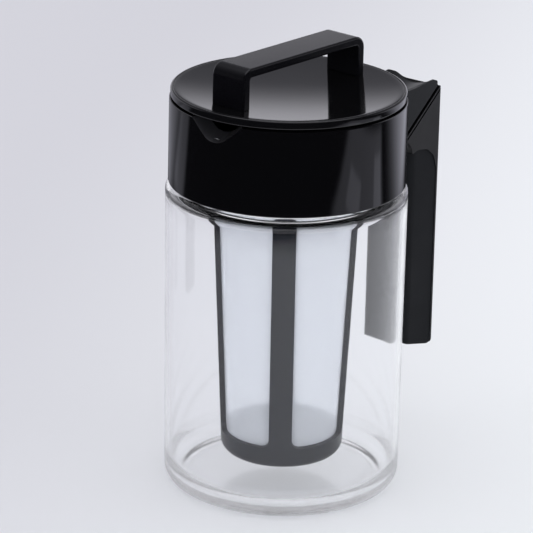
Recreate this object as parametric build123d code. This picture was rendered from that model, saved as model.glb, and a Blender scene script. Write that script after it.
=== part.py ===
from build123d import *
from math import cos, degrees, pi, radians, sin, sqrt, tan
import os

# Cold brew coffee maker: a clear pitcher with a black collar, a side handle that hangs from the
# collar, a twist-and-lift lid with a bar handle, and a mesh filter that hangs from the lid.
# Millimetres. The origin is the centre of the base on the table, +Z is up, the spout points
# towards -Y and the side handle towards +Y.

# Clearances
slide_gap = 0.3           # between pieces that move against each other
lid_gap = 0.2             # between the lid's underside and the collar
seal_gap = 0.1            # between the lid's seal and the bore
neck_gap = 0.5            # between the neck and the collar around it
sleeve_gap = 0.3          # between the neck and the collar's inner tube
snap_gap = 0.1            # between the neck's bead and the collar's snap lugs
screw_gap = 0.05          # round a screw

# Pitcher body
body_step = 1.2           # how far the body's widest place stands out past the collar
body_draft = 0.7          # how much smaller the radius is at the base
body_wall = 2.0
shoulder_height = 143.0
shoulder_round = 3.8
shoulder_thickness = 3.6
shoulder_fillet = 3.4     # inside corner between the wall and the shoulder
neck_wall = 2.0
neck_length = 29.6
base_round = 7.0          # outside corner between the wall and the base
base_fillet = 12.0        # inside corner between the wall and the base
base_thickness = 3.0
bead_height = 0.4         # bead round the neck that the collar snaps over
bead_width = 2.0
bead_drop = 12.0          # from the lip of the neck down to the bead

# Collar
collar_radius = 53.5      # at its lower edge
collar_taper = 0.25       # how much smaller the radius is at its upper edge
collar_wall = 2.4
collar_gap = 0.4          # between the shoulder and the collar's lower edge
collar_roof = 7.5         # thickness of the ring above the neck
collar_edge = 0.6         # rounding of its outer edges
snap_lug_count = 6
snap_lug_angle = 16.0
snap_lug_height = 2.6
sleeve_wall = 2.2
sleeve_rise = 3.0         # from the shoulder up to the lower end of the inner tube
neck_seal_height = 2.4

# Pouring scoop, a rounded V cut through the collar's upper edge
scoop_half_width = 14.7
scoop_depth = 10.3        # to the point of the V, before it is rounded
scoop_round = 10.4
scoop_fall = 26.0         # degrees that its floor drops towards the outside

# Lid
lid_turn_shown = -3.9      # degrees that the bar is turned from the line of spout and side handle
lid_inset = 0.5           # how much smaller the lid is than the collar's upper edge
lid_seam = 0.9            # shadow gap between the lid's rim and the collar
lid_rim_height = 3.5
lid_rim_width = 2.6
lid_rim_edge = 0.8
lid_groove_inset = 1.2    # thin groove round the top, measured in from the rim's edge
lid_groove_width = 0.5
lid_groove_depth = 0.35
lid_dish = 2.3            # how far the middle of the top lies below the rim
plug_gap = 1.2            # between the plug and the bore
plug_step = 2.6           # how much narrower the plug is below the seal
plug_wall = 2.4
plug_depth = 22.0
plug_floor = 2.4
seal_height = 3.4
seal_bite = 1.5           # how deep the seal sits in the plug
seal_groove = 0.6         # depth and width of the groove round the seal's middle
seal_rise = 8.4           # from the plug's floor up to the seal
seal_lip = 1.6            # ledge of the plug under the seal
pour_window_angle = 34.0
pour_window_height = 6.0
inlet_slot_count = 5
inlet_slot_angle = 9.0
inlet_slot_pitch = 13.0
inlet_slot_height = 4.0

# Bar handle on the lid
bar_inset = 12.05         # from the lid's edge in to the outside of a leg
bar_width = 18.6
bar_thickness = 4.1
bar_leg_thickness = 4.5
bar_height = 17.6         # from the lid's rim up to the top of the bar
bar_round = 5.5           # outer corner between the bar and a leg
bar_edge = 0.9
bar_foot_sink = 0.4       # how far the legs stand into their seats in the cover

# Filter
rib_count = 4
rib_width = 10.4
rib_thickness = 2.4
rib_turn = 36.0           # how far the first rib is turned from the spout
rib_inset = 4.3           # how much smaller the ribs are at the shoulder than the filter's ring
filter_taper = 5.2        # how much smaller the cup's upper edge is than the ribs at the shoulder
window_round = 3.5        # corners of the four mesh windows
cup_bottom = 13.7         # height of the cup's underside above the table
cup_height = 10.4
cup_round = 5.0
mesh_thickness = 0.7
filter_ring_height = 14.0
filter_ring_wall = 2.4
socket_inset = 1.7        # how much smaller the socket is than the plug above it
socket_wall = 2.6
socket_depth = 13.0
bayonet_count = 3
bayonet_lug_angle = 12.0
bayonet_lug_height = 3.0
bayonet_turn = 30.0       # degrees from locked to free
bayonet_rise = 5.0        # from the socket's lower edge up to the slot

# Side handle
arm_half_width = 13.0
arm_height = 24.0         # height of the arm's root on the collar
arm_top_drop = 16.5       # from the lid's rim down to the top of the arm
arm_level = 82.0          # distance from the axis where the arm's top starts to rise to the nose
nose_start = 94.6         # where the top turns down into the rounded nose
nose_rise = 1.1           # how much higher the nose is than the rest of the arm
nose_end = 98.0
nose_fall = 3.2
nose_bulge = 0.75         # how full the nose is, as a share of its length
nose_round = 0.4
thumb_half_width = 12.4   # dish across the arm's top, between its two ears
thumb_depth = 4.2
grip_outer = 102.4        # palm side of the grip, from the axis
grip_depth = 22.8
grip_low = 37.4           # height of the grip's lower end, palm side
grip_low_slope = 13.0     # degrees that the lower end rises towards the fingers
grip_toe_round = 5.0
grip_palm_round = 2.5
grip_finger_round = 6.0   # finger side, below the arch
grip_side_relief = 2.4    # how much the lower grip is drawn in on the finger side
finger_round = 9.0        # inside corner between the arm and the grip
seam_drop = 4.0           # from the arm's top down to the seam on the palm side
seam_slope = 36.5         # degrees
seam_groove = 0.9
seam_bead = 0.9
seam_step = 1.9           # wider groove between the bead and the arm
seam_depth = 0.9
seam_bridge_inset = 1.2   # from the groove's finger-side end in to the bridge that closes it
sleeve_skin = 2.6
arch_drop = 26.8          # from there down to the arch where the lower grip begins
arch_half_width = 15.0
arch_centre = 84.5        # from the axis
arch_rise = 13.0

# Screws
arm_screw_radius = 1.5
arm_screw_head = 2.8
arm_screw_head_height = 1.5
arm_screw_length = 14.0
arm_screw_pitch = 13.0
bar_screw_radius = 1.2
bar_screw_head = 2.4
bar_screw_head_height = 1.6
bar_screw_length = 12.0
screw_slot = 0.7          # width and depth of the driver slots

# Heights and radii that follow from the sizes above
body_radius = collar_radius + body_step
neck_radius = collar_radius - collar_wall - neck_gap
neck_bore = neck_radius - neck_wall
neck_top = shoulder_height + neck_length
collar_low = shoulder_height + collar_gap
roof_low = neck_top + neck_seal_height
collar_top = roof_low + collar_roof
collar_top_radius = collar_radius - collar_taper
sleeve_radius = neck_bore - sleeve_gap
bore_radius = sleeve_radius - sleeve_wall
sleeve_low = shoulder_height + sleeve_rise
lid_radius = collar_top_radius - lid_inset
lid_under = collar_top + lid_gap
lid_low = collar_top + lid_seam
lid_top = lid_low + lid_rim_height
bar_length = 2 * (lid_radius - bar_inset)
plug_radius = bore_radius - plug_gap
plug_low_radius = plug_radius - plug_step
plug_low = collar_top - plug_depth
socket_radius = plug_low_radius - socket_inset
socket_bore = socket_radius - socket_wall
filter_ring_radius = socket_bore - slide_gap
filter_top_radius = filter_ring_radius - rib_inset
filter_low_radius = filter_top_radius - filter_taper
socket_low = plug_low - socket_depth
seal_low = plug_low + seal_rise
lug_low = socket_low + bayonet_rise
seal_seat = plug_radius - seal_bite
arm_top = lid_top - arm_top_drop
arm_low = arm_top - arm_height
nose_top = arm_top + nose_rise
seam_high = arm_top - seam_drop
arch_top = seam_high - arch_drop
grip_inner = grip_outer - grip_depth
seam_band = seam_groove + seam_bead + seam_step


def ring(inner, outer, low, high):
    """Plain ring about the Z axis."""
    height = high - low
    body = Cylinder(outer, height, align=(Align.CENTER, Align.CENTER, Align.MIN))
    if inner > 0:
        body -= Cylinder(inner, height, align=(Align.CENTER, Align.CENTER, Align.MIN))
    return Pos(0, 0, low) * body


def sector(inner, outer, low, high, middle, spread):
    """Part of a ring. Its middle is turned from -Y towards +X by an angle in degrees."""
    outline = Polyline((inner, 0, low), (outer, 0, low), (outer, 0, high), (inner, 0, high), close=True)
    wedge = revolve(make_face(outline), Axis.Z, revolution_arc=spread)
    return Rot(0, 0, middle - 90 - spread / 2) * wedge


def turned(*edges):
    """Solid of revolution about Z from a closed outline in the XZ plane."""
    return revolve(make_face(Curve() + list(edges)), Axis.Z)


def side_plate(outline, half_width):
    """Plate of full width 2 * half_width whose outline lies in the YZ plane."""
    return extrude(make_face(outline), amount=half_width, dir=(1, 0, 0), both=True)


# Pitcher body
def make_pitcher_body():
    low_radius = body_radius - body_draft
    wall_low = base_round
    wall_high = shoulder_height - shoulder_round
    floor = base_thickness
    corner = cos(pi / 4)

    base_edge = low_radius - base_round
    outer = [
        Line((0, 0, 0), (base_edge, 0, 0)),
        ThreePointArc(
            (base_edge, 0, 0),
            (base_edge + base_round * corner, 0, base_round * (1 - corner)),
            (low_radius, 0, base_round),
        ),
        Line((low_radius, 0, wall_low), (body_radius, 0, wall_high)),
        ThreePointArc(
            (body_radius, 0, wall_high),
            (body_radius - shoulder_round * (1 - corner), 0, wall_high + shoulder_round * corner),
            (body_radius - shoulder_round, 0, shoulder_height),
        ),
        Line((body_radius - shoulder_round, 0, shoulder_height), (neck_radius, 0, shoulder_height)),
        Line((neck_radius, 0, shoulder_height), (neck_radius, 0, neck_top)),
    ]
    under = shoulder_height - shoulder_thickness
    inner_wall = body_radius - body_wall
    inner_low = low_radius - body_wall
    inner = [
        Line((neck_radius, 0, neck_top), (neck_bore, 0, neck_top)),
        Line((neck_bore, 0, neck_top), (neck_bore, 0, under)),
        Line((neck_bore, 0, under), (inner_wall - shoulder_fillet, 0, under)),
        ThreePointArc(
            (inner_wall - shoulder_fillet, 0, under),
            (inner_wall - shoulder_fillet * (1 - corner), 0, under - shoulder_fillet * (1 - corner)),
            (inner_wall, 0, under - shoulder_fillet),
        ),
        Line((inner_wall, 0, under - shoulder_fillet), (inner_low, 0, floor + base_fillet)),
        ThreePointArc(
            (inner_low, 0, floor + base_fillet),
            (inner_low - base_fillet * (1 - corner), 0, floor + base_fillet * (1 - corner)),
            (inner_low - base_fillet, 0, floor),
        ),
        Line((inner_low - base_fillet, 0, floor), (0, 0, floor)),
        Line((0, 0, floor), (0, 0, 0)),
    ]
    body = turned(*outer, *inner)
    bead_top = neck_top - bead_drop
    return body + ring(neck_bore, neck_radius + bead_height, bead_top - bead_width, bead_top)


# Pouring scoop: a rounded V whose floor drops towards the outside
def make_scoop():
    steep = scoop_depth / scoop_half_width
    above = scoop_depth
    wide = scoop_half_width + above / steep
    outline = FilletPolyline((-wide, above), (0, -scoop_depth), (wide, above), radius=scoop_round)
    face = make_face(outline + Line((wide, above), (-wide, above)))
    fall = radians(scoop_fall)
    mouth = Plane(
        origin=(0, -collar_top_radius, collar_top),
        x_dir=(1, 0, 0),
        z_dir=(0, -cos(fall), -sin(fall)),
    )
    outside = extrude(mouth * face, amount=collar_wall, both=True)
    inside = extrude(mouth * face, amount=-bore_radius / 2)
    return outside + inside


# Collar: outer shell, thick roof ring and snap lugs under the neck's bead
def collar_cone():
    """Solid cone inside the collar's outer surface."""
    outline = Polyline(
        (0, 0, collar_low),
        (collar_radius, 0, collar_low),
        (collar_top_radius, 0, collar_top),
        (0, 0, collar_top),
        close=True,
    )
    return revolve(make_face(outline), Axis.Z)


def make_collar():
    wall_in = collar_radius - collar_wall
    body = collar_cone()
    outer_edges = body.edges().filter_by(GeomType.CIRCLE)
    body = fillet(outer_edges, collar_edge)
    body -= ring(0, wall_in, collar_low - 1, roof_low)
    body -= ring(0, bore_radius, collar_low, collar_top + 1)
    lug_top = neck_top - bead_drop - bead_width - snap_gap
    for i in range(snap_lug_count):
        body += sector(
            neck_radius + snap_gap,
            wall_in + collar_wall / 2,
            lug_top - snap_lug_height,
            lug_top,
            (i + 0.5) * 360 / snap_lug_count,
            snap_lug_angle,
        )
    body -= make_scoop()
    for height in arm_screw_heights():
        body -= arm_screw(height, screw_gap)
    return body


# Inner tube of the collar, the bore that the lid seals in
def make_collar_sleeve():
    return ring(bore_radius, sleeve_radius, sleeve_low, roof_low)


def make_neck_seal():
    return ring(sleeve_radius, neck_radius, neck_top, roof_low)


# Screws that hold the arm to the collar, heads inside the collar's wall
def arm_screw_heights():
    middle = arm_top - arm_height / 2 - thumb_depth / 2
    return [middle - arm_screw_pitch / 2, middle + arm_screw_pitch / 2]


def arm_screw(height, gap):
    head_seat = collar_radius - collar_wall
    upright = (Align.CENTER, Align.CENTER, Align.MIN)
    head = Cylinder(arm_screw_head + gap, arm_screw_head_height, align=upright)
    shank = Cylinder(arm_screw_radius + gap, arm_screw_length, align=upright)
    along_y = Pos(0, head_seat, height) * Rot(-90, 0, 0)
    return along_y * (head + shank)


def make_arm_screws():
    slot = Box(screw_slot, 2 * arm_screw_head, 2 * screw_slot)
    screws = []
    for height in arm_screw_heights():
        cut = Pos(0, collar_radius - collar_wall, height) * Rot(-90, 0, 0) * slot
        screws.append(arm_screw(height, 0) - cut)
    return Compound(children=[s.solid() for s in screws])


# Lid
def dish_height(radius):
    """Height of the dished top at a distance from the axis."""
    inner = lid_radius - lid_rim_width
    return lid_top - lid_dish + lid_dish * min(1.0, radius / inner) ** 2


def make_lid_cover():
    inner = lid_radius - lid_rim_width
    sag_radius = (inner**2 + lid_dish**2) / (2 * lid_dish)
    middle = inner / 2
    sag = lid_top - lid_dish + sag_radius - sqrt(sag_radius**2 - middle**2)
    edges = [
        Line((0, 0, lid_under), (inner, 0, lid_under)),
        Line((inner, 0, lid_under), (inner, 0, lid_low)),
        Line((inner, 0, lid_low), (lid_radius, 0, lid_low)),
        Line((lid_radius, 0, lid_low), (lid_radius, 0, lid_top)),
        Line((lid_radius, 0, lid_top), (inner, 0, lid_top)),
        ThreePointArc((inner, 0, lid_top), (middle, 0, sag), (0, 0, lid_top - lid_dish)),
        Line((0, 0, lid_top - lid_dish), (0, 0, lid_under)),
    ]
    body = turned(*edges)
    rim = body.edges().filter_by(GeomType.CIRCLE).filter_by(lambda e: e.radius > lid_radius - 0.01)
    body = fillet(rim, lid_rim_edge)
    groove_out = lid_radius - lid_groove_inset
    body -= ring(groove_out - lid_groove_width, groove_out, lid_top - lid_groove_depth, lid_top + 1)
    body -= bar_feet()
    for y in bar_screw_places():
        body -= bar_screw(y, screw_gap)
    return Rot(0, 0, lid_turn_shown) * body


# Bar handle: a strap bent into an inverted U
def bar_top():
    return lid_top + bar_height


def bar_screw_places():
    reach = bar_length / 2 - bar_leg_thickness / 2
    return [-reach, reach]


def bar_foot_low():
    """Height of the legs' lower ends, in their seats."""
    return dish_height(bar_length / 2 - bar_leg_thickness / 2) - bar_foot_sink


def bar_outline():
    half = bar_length / 2
    low = bar_foot_low()
    high = bar_top()
    outer = FilletPolyline(
        (0, -half, low), (0, -half, high), (0, half, high), (0, half, low), radius=bar_round
    )
    inside = half - bar_leg_thickness
    inner = FilletPolyline(
        (0, inside, low),
        (0, inside, high - bar_thickness),
        (0, -inside, high - bar_thickness),
        (0, -inside, low),
        radius=bar_round - bar_thickness,
    )
    right_foot = Line((0, half, low), (0, inside, low))
    left_foot = Line((0, -inside, low), (0, -half, low))
    return outer + right_foot + inner + left_foot


def make_bar():
    bar = side_plate(bar_outline(), bar_width / 2)
    side_edges = bar.edges().filter_by(lambda e: abs(abs(e.center().X) - bar_width / 2) < 0.01)
    long_edges = side_edges.filter_by(lambda e: e.center().Z > bar_foot_low() + 0.1)
    return fillet(long_edges, bar_edge)


def bar_feet():
    slab = Pos(0, 0, bar_foot_low()) * Box(
        2 * bar_width, 2 * bar_length, 3 * lid_rim_height, align=(Align.CENTER, Align.CENTER, Align.MIN)
    )
    return make_bar() & slab


def make_lid_handle():
    bar = make_bar()
    for y in bar_screw_places():
        bar -= bar_screw(y, screw_gap)
    return Rot(0, 0, lid_turn_shown) * bar


def bar_screw(y, gap):
    upright = (Align.CENTER, Align.CENTER, Align.MIN)
    head = Cylinder(bar_screw_head + gap, bar_screw_head_height + gap, align=upright)
    shank = Cylinder(bar_screw_radius + gap, bar_screw_length + gap, align=upright)
    return Pos(0, y, lid_under) * (Pos(0, 0, -bar_screw_head_height - gap) * head + shank)


def make_lid_handle_screws():
    screws = []
    slot = Box(2 * bar_screw_head, screw_slot, 2 * screw_slot)
    for y in bar_screw_places():
        cut = Pos(0, y, lid_under - bar_screw_head_height) * slot
        screws.append(Rot(0, 0, lid_turn_shown) * (bar_screw(y, 0) - cut))
    return Compound(children=[s.solid() for s in screws])


# Plug under the lid: a hollow cup with a seal groove, a pour window and the filter's socket
def make_lid_plug():
    floor_top = plug_low + plug_floor
    ledge = seal_low - slide_gap - seal_lip
    seal_high = seal_low + seal_height
    low_in = plug_low_radius - plug_wall
    seal_in = seal_seat - plug_wall
    high_in = plug_radius - plug_wall
    outline = Polyline(
        (0, 0, plug_low),
        (plug_low_radius, 0, plug_low),
        (plug_low_radius, 0, ledge),
        (plug_radius, 0, ledge),
        (plug_radius, 0, lid_under),
        (high_in, 0, lid_under),
        (high_in, 0, seal_high + plug_wall),
        (seal_in, 0, seal_high),
        (seal_in, 0, ledge),
        (low_in, 0, ledge - plug_wall / 2),
        (low_in, 0, floor_top),
        (0, 0, floor_top),
        close=True,
    )
    body = revolve(make_face(outline), Axis.Z)
    body -= ring(seal_seat, plug_radius + 1, seal_low - slide_gap, seal_high + slide_gap)
    window_high = lid_under - plug_wall / 2
    body -= sector(
        high_in - 1,
        plug_radius + 1,
        window_high - pour_window_height,
        window_high,
        lid_turn_shown,
        pour_window_angle,
    )
    first = lid_turn_shown - (inlet_slot_count - 1) / 2 * inlet_slot_pitch
    for i in range(inlet_slot_count):
        middle = first + i * inlet_slot_pitch
        body -= sector(
            low_in - 1,
            plug_low_radius + 1,
            floor_top,
            floor_top + inlet_slot_height,
            middle,
            inlet_slot_angle,
        )
    for y in bar_screw_places():
        body -= Rot(0, 0, lid_turn_shown) * bar_screw(y, screw_gap)
    return body + filter_socket()


def filter_socket():
    """Ring under the plug with an L-shaped slot for each of the filter's lugs."""
    body = ring(socket_bore, socket_radius, socket_low, plug_low)
    slot_low = lug_low - slide_gap
    slot_high = lug_low + bayonet_lug_height + slide_gap
    lug_angle = bayonet_lug_angle + 2 * degrees(slide_gap / socket_bore)
    for i in range(bayonet_count):
        locked = rib_turn + i * 360 / bayonet_count
        free = locked + bayonet_turn
        body -= sector(
            socket_bore - 1,
            socket_radius + 1,
            slot_low,
            slot_high,
            (locked + free) / 2,
            lug_angle + bayonet_turn,
        )
        body -= sector(socket_bore - 1, socket_radius + 1, socket_low - 1, slot_high, free, lug_angle)
    return body


def make_lid_seal():
    inner = seal_seat + slide_gap
    outer = bore_radius - seal_gap
    body = ring(inner, outer, seal_low, seal_low + seal_height)
    middle = seal_low + seal_height / 2
    groove = ring(outer - seal_groove, outer + 1, middle - seal_groove / 2, middle + seal_groove / 2)
    return body - groove


# Filter
def filter_radius(height):
    """Outside radius of the tapering ribs at a height."""
    low = cup_bottom + cup_height
    share = (height - low) / (shoulder_height - low)
    return filter_low_radius + share * (filter_top_radius - filter_low_radius)


def ring_low():
    return plug_low - slide_gap - filter_ring_height


def filter_window(low, high):
    """Wedge between two ribs, its middle along +X, with the window's corners rounded."""
    half_angle = pi / rib_count
    near = rib_width / 2 / sin(half_angle)
    reach = 2 * filter_top_radius
    far = near + reach * cos(half_angle)
    side = reach * sin(half_angle)
    plan = make_face(Polyline((near, 0), (far, side), (far, -side), close=True))
    wedge = Pos(0, 0, low) * extrude(plan, amount=high - low)
    side_edges = wedge.edges().filter_by(
        lambda e: abs(e.center().Z - (low + high) / 2) > 0.4 * (high - low) and e.center().X < far - 0.01
    )
    return fillet(side_edges, window_round)


def make_filter_frame():
    cup_top = cup_bottom + cup_height
    ring_bottom = ring_low()
    low_out = filter_radius(cup_bottom)
    top_out = filter_radius(cup_top)
    ring_out = filter_radius(ring_bottom)
    corner = cos(pi / 4)
    wall = rib_thickness
    cup = turned(
        Line((0, 0, cup_bottom), (low_out - cup_round, 0, cup_bottom)),
        ThreePointArc(
            (low_out - cup_round, 0, cup_bottom),
            (low_out - cup_round * (1 - corner), 0, cup_bottom + cup_round * (1 - corner)),
            (low_out, 0, cup_bottom + cup_round),
        ),
        Line((low_out, 0, cup_bottom + cup_round), (top_out, 0, cup_top)),
        Line((top_out, 0, cup_top), (top_out - wall, 0, cup_top)),
        Line((top_out - wall, 0, cup_top), (low_out - wall, 0, cup_bottom + cup_round)),
        Line((low_out - wall, 0, cup_bottom + cup_round), (low_out - cup_round, 0, cup_bottom + wall)),
        Line((low_out - cup_round, 0, cup_bottom + wall), (0, 0, cup_bottom + wall)),
        Line((0, 0, cup_bottom + wall), (0, 0, cup_bottom)),
    )
    shell = revolve(
        make_face(
            Polyline(
                (top_out - rib_thickness, 0, cup_top),
                (top_out, 0, cup_top),
                (ring_out, 0, ring_bottom),
                (ring_out - rib_thickness, 0, ring_bottom),
                close=True,
            )
        ),
        Axis.Z,
    )
    window = filter_window(cup_top, ring_bottom)
    for i in range(rib_count):
        shell -= Rot(0, 0, rib_turn - 90 + (i + 0.5) * 360 / rib_count) * window
    frame = cup + shell
    ring_top = ring_bottom + filter_ring_height
    frame += ring(ring_out - rib_thickness, filter_ring_radius, ring_bottom, ring_bottom + filter_ring_wall)
    frame += ring(filter_ring_radius - filter_ring_wall, filter_ring_radius, ring_bottom, ring_top)
    for i in range(bayonet_count):
        frame += sector(
            filter_ring_radius - 1,
            socket_radius - slide_gap,
            lug_low,
            lug_low + bayonet_lug_height,
            rib_turn + i * 360 / bayonet_count,
            bayonet_lug_angle,
        )
    return frame


def make_filter_mesh():
    cup_top = cup_bottom + cup_height
    ring_bottom = ring_low()
    low_out = filter_radius(cup_top) - rib_thickness
    top_out = filter_radius(ring_bottom) - rib_thickness
    outline = Polyline(
        (low_out - mesh_thickness, 0, cup_top),
        (low_out, 0, cup_top),
        (top_out, 0, ring_bottom),
        (top_out - mesh_thickness, 0, ring_bottom),
        close=True,
    )
    return revolve(make_face(outline), Axis.Z)


# Side handle
def seam_height(y):
    """Height of the seam's lower line on the grip at a distance from the axis."""
    return seam_high - (grip_outer - y) * tan(radians(seam_slope))


def seam_reach(height, offset):
    """Distance from the axis at which a line parallel to the seam is at a height."""
    rise = offset / cos(radians(seam_slope))
    return grip_outer - (seam_high + rise - height) / tan(radians(seam_slope))


def handle_outline():
    """Side view of the whole handle, arm and grip together."""
    root = collar_radius - collar_wall
    low_in = grip_low + grip_depth * tan(radians(grip_low_slope))
    nose_low = nose_top - nose_fall
    nose_middle = (nose_start + nose_bulge * (nose_end - nose_start), nose_top - nose_fall / 3)
    top = Line((0, root, arm_top), (0, arm_level, arm_top)) + TangentArc(
        (0, arm_level, arm_top), (0, nose_start, nose_top), tangent=(0, 1, 0)
    )
    nose = ThreePointArc((0, nose_start, nose_top), (0, *nose_middle), (0, nose_end, nose_low))
    toe = FilletPolyline(
        (0, nose_end, nose_low),
        (0, grip_outer, seam_high),
        (0, grip_outer, grip_low),
        (0, grip_inner, low_in),
        (0, grip_inner, arm_low),
        (0, root, arm_low),
        radius=(nose_round, grip_toe_round, grip_toe_round, finger_round),
    )
    return top + nose + toe + Line((0, root, arm_low), (0, root, arm_top))


def grip_plan():
    """Cross-section of the lower grip, drawn in on the finger side."""
    narrow = arm_half_width - grip_side_relief
    return FilletPolyline(
        (-arm_half_width, grip_outer),
        (arm_half_width, grip_outer),
        (narrow, grip_inner),
        (-narrow, grip_inner),
        radius=(grip_palm_round, grip_finger_round, grip_finger_round, grip_palm_round),
        close=True,
    )


def make_handle_block():
    """Whole handle with its flat sides, before it is split into arm and sleeve."""
    return side_plate(handle_outline(), arm_half_width)


def under_seam(offset):
    """Everything below a line parallel to the seam, raised by an offset square to it."""
    tilt = radians(seam_slope)
    rise = offset / cos(tilt)
    far = 2 * grip_outer
    outline = Polyline(
        (0, 0, seam_height(0) + rise),
        (0, far, seam_height(far) + rise),
        (0, far, -grip_outer),
        (0, 0, -grip_outer),
        close=True,
    )
    return side_plate(outline, 2 * arm_half_width)


def grip_zone():
    """Space that the grip may fill, rounded on the palm side and open to the inside corner."""
    reach = grip_inner - finger_round
    block = Pos(0, reach, 0) * Box(
        2 * arm_half_width, grip_outer - reach, lid_top, align=(Align.CENTER, Align.MIN, Align.MIN)
    )
    palm_edges = block.edges().filter_by(Axis.Z).filter_by(lambda e: e.center().Y > grip_inner)
    return fillet(palm_edges, grip_palm_round)


def lower_grip_zone():
    return extrude(make_face(grip_plan()), amount=lid_top)


def arch_zone():
    """Lower part of the handle, ended at the top by an arch as seen from the side."""
    left = arch_centre - arch_half_width
    right = arch_centre + arch_half_width
    spring = arch_top - arch_rise
    outline = (
        Line((0, right, spring), (0, right, 0))
        + Line((0, right, 0), (0, left, 0))
        + Line((0, left, 0), (0, left, spring))
        + ThreePointArc((0, left, spring), (0, arch_centre, arch_top), (0, right, spring))
    )
    return side_plate(outline, 2 * arm_half_width)


def core_zone(skin):
    """Core of the grip, a skin's thickness inside the sleeve."""
    plan = RectangleRounded(
        2 * (arm_half_width - skin),
        grip_depth - 2 * skin,
        grip_finger_round - skin / 2,
    )
    column = extrude(plan, amount=lid_top)
    middle = (grip_inner + grip_outer) / 2
    low = grip_low + grip_depth * tan(radians(grip_low_slope)) + 2 * skin
    floor = Pos(0, middle, low) * Box(
        4 * arm_half_width, 2 * grip_depth, lid_top, align=(Align.CENTER, Align.CENTER, Align.MIN)
    )
    return Pos(0, middle, 0) * column & floor


def thumb_cutter():
    """Dish along the arm's top, between its two ears."""
    bend = (thumb_half_width**2 + thumb_depth**2) / (2 * thumb_depth)
    tool = Rot(-90, 0, 0) * Cylinder(bend, 2 * grip_outer, align=(Align.CENTER, Align.CENTER, Align.MIN))
    return Pos(0, 0, nose_top - thumb_depth + bend) * tool


def seam_bridge():
    """Web inside the wide groove, from the core to near the groove's finger-side end."""
    low_offset = seam_groove + seam_bead
    start = seam_reach(arm_low, low_offset) + seam_bridge_inset
    end = grip_inner + 2 * sleeve_skin
    block = Pos(0, start, 0) * Box(
        2 * (arm_half_width - sleeve_skin), end - start, lid_top, align=(Align.CENTER, Align.MIN, Align.MIN)
    )
    return block & (under_seam(seam_band) - under_seam(low_offset))


def make_handle_arm():
    whole = make_handle_block()
    arm = whole - under_seam(seam_band)
    arm -= collar_cone()
    arm += whole & core_zone(sleeve_skin) & under_seam(seam_band)
    arm += seam_bridge()
    arm -= thumb_cutter()
    for height in arm_screw_heights():
        arm -= arm_screw(height, screw_gap)
    return arm


def make_grip_sleeve():
    whole = make_handle_block() & grip_zone()
    sleeve = whole & under_seam(seam_groove + seam_bead)
    drawn_in = arch_zone() - lower_grip_zone()
    sleeve -= drawn_in
    groove = (under_seam(seam_groove) - under_seam(0)) & make_handle_block()
    inside = Pos(0, (grip_inner + grip_outer) / 2, 0) * Box(
        2 * (arm_half_width - seam_depth),
        grip_depth - 2 * seam_depth,
        2 * lid_top,
    )
    sleeve -= groove - inside
    sleeve -= core_zone(sleeve_skin)
    return sleeve


nodes = {
    "pitcher_body": make_pitcher_body,
    "collar": make_collar,
    "collar_sleeve": make_collar_sleeve,
    "neck_seal": make_neck_seal,
    "arm_screws": make_arm_screws,
    "handle_arm": make_handle_arm,
    "grip_sleeve": make_grip_sleeve,
    "lid_cover": make_lid_cover,
    "lid_plug": make_lid_plug,
    "lid_seal": make_lid_seal,
    "lid_handle": make_lid_handle,
    "lid_handle_screws": make_lid_handle_screws,
    "filter_frame": make_filter_frame,
    "filter_mesh": make_filter_mesh,
}

os.makedirs("parts", exist_ok=True)
for name, make in nodes.items():
    piece = make()
    export_step(piece, "parts/" + name + ".step")
    print(name, len(piece.solids()), "solids", round(piece.volume / 1000, 2), "cm3")
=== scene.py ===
# %% [markdown]
# A cold brew pitcher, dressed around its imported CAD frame. The frame gives the bodies that move and the
# box of every part in metres. Each cell below makes one real piece or one real finish, and says how the
# real thing is made before it says how Blender makes it.

# %% Load the frame
import math

import bmesh
import bpy
from mathutils import Matrix, Vector


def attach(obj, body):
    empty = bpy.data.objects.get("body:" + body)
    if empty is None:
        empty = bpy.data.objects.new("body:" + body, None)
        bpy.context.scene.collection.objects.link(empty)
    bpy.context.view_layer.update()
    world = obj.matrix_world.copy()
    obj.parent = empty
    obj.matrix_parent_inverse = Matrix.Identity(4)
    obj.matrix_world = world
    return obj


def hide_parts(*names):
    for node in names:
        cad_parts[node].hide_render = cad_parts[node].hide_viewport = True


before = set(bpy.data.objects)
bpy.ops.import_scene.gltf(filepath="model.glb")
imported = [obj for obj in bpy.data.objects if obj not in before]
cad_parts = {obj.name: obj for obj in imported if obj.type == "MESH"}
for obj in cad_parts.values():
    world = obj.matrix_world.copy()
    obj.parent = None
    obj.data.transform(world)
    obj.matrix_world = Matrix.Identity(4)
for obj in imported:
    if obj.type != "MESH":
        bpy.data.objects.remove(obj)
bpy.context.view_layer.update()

MM = 0.001

# %% [markdown]
# The photograph was taken from above and from one side of the spout, with a long lens. Its place was worked
# out from the ellipses of the lid, the collar and the base, so the camera is set by its distance from the
# pitcher's axis, its height and three small turns. A long lens keeps the pitcher's sides nearly parallel.

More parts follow.
